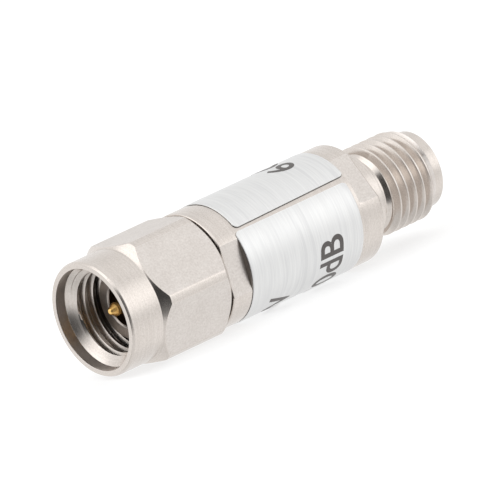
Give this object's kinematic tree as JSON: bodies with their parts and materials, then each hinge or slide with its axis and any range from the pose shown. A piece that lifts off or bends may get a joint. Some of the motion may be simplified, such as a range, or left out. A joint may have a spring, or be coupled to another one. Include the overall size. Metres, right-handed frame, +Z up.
{
  "type": "rf attenuator",
  "caption": "Cylindrical coaxial fixed attenuator with a male hexagonal coupling nut at one end, a foil-wrapped body with wrench flats, and a female threaded barrel at the other end.",
  "frame": {"origin": "on the surface that the part lies on, below the middle of its bounding box", "axes": "+X along the connector axis from the male end to the female end, +Z up, one flat of the coupling nut facing down"},
  "size_m": [0.0286, 0.009, 0.0083],
  "materials": {
    "nut_steel": "passivated stainless steel, fine matte milled flats and turned collar",
    "shell_steel": "passivated stainless steel, fine turned",
    "label_foil": "brushed silver foil label",
    "gold_plate": "gold plated beryllium copper",
    "plated_brass": "plated turned brass",
    "bronze": "spring bronze",
    "bead_plastic": "translucent amber engineering plastic",
    "alumina": "white alumina ceramic card"
  },
  "bodies": {
    "body": {"nut_retaining_ring": "bronze", "male_shell": "shell_steel", "male_pin": "gold_plate", "male_support_bead": "bead_plastic", "male_bead_sleeve": "plated_brass", "male_inner_contact": "gold_plate", "housing": "shell_steel", "label": "label_foil", "chip_carrier_upper": "plated_brass", "chip_carrier_lower": "plated_brass", "attenuator_chip": "alumina", "ground_spring_left": "bronze", "ground_spring_right": "bronze", "preload_washer": "bronze", "female_inner_contact": "gold_plate", "female_bead_sleeve": "plated_brass", "female_support_bead": "bead_plastic", "female_contact": "gold_plate", "female_shell": "shell_steel"},
    "nut": {"coupling_nut": "nut_steel"}
  },
  "joints": [
    {"name": "nut_spin", "type": "hinge", "parent": "body", "child": "nut", "pos_m": [-0.01006, 0, 0.00413], "axis": [1, 0, 0], "continuous": true}
  ]
}
